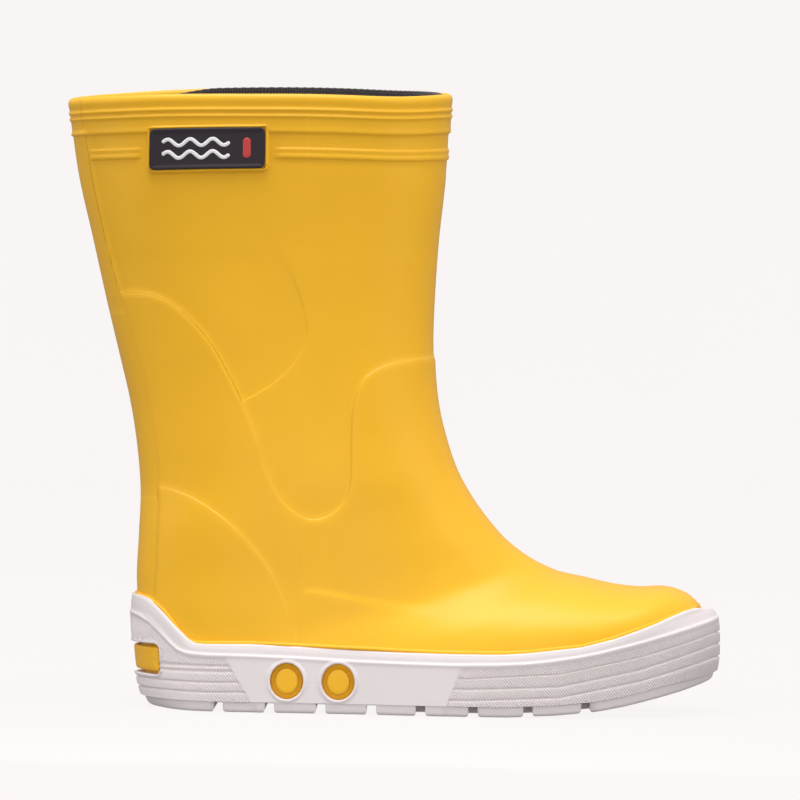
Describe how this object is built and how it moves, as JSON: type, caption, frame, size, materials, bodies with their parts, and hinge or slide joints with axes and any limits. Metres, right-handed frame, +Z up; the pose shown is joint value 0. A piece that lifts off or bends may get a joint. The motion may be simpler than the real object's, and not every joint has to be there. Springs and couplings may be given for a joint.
{
  "type": "deck boot",
  "caption": "Child's pull-on moulded deck boot, right foot, with a ribbed collar, raised heel and vamp overlays, knit lining and a wrapped white treaded sole.",
  "frame": {"origin": "on the floor, at the middle of the boot's box seen from above", "axes": "+X towards the toe, +Y towards the inner side of the foot, +Z up"},
  "size_m": [0.2184, 0.0784, 0.2075],
  "materials": {
    "yellow_pvc": "soft semi-gloss PVC",
    "white_pvc": "satin PVC with moulded ribs",
    "knit_lining": "dark knit",
    "insole_foam": "closed-cell foam",
    "insole_cloth": "dark woven cover",
    "badge_dark": "satin",
    "badge_white": "satin",
    "badge_red": "satin"
  },
  "bodies": {
    "root": {"upper_shell": "yellow_pvc", "lining_sock": "knit_lining", "insole_foam": "insole_foam", "insole_cover": "insole_cloth", "outsole": "white_pvc", "heel_insert": "yellow_pvc", "side_plug_outer_rear": "yellow_pvc", "side_plug_outer_front": "yellow_pvc", "side_plug_inner_rear": "yellow_pvc", "side_plug_inner_front": "yellow_pvc", "badge_plate": "badge_dark", "badge_wave_upper": "badge_white", "badge_wave_lower": "badge_white", "badge_bar": "badge_red"}
  },
  "joints": []
}
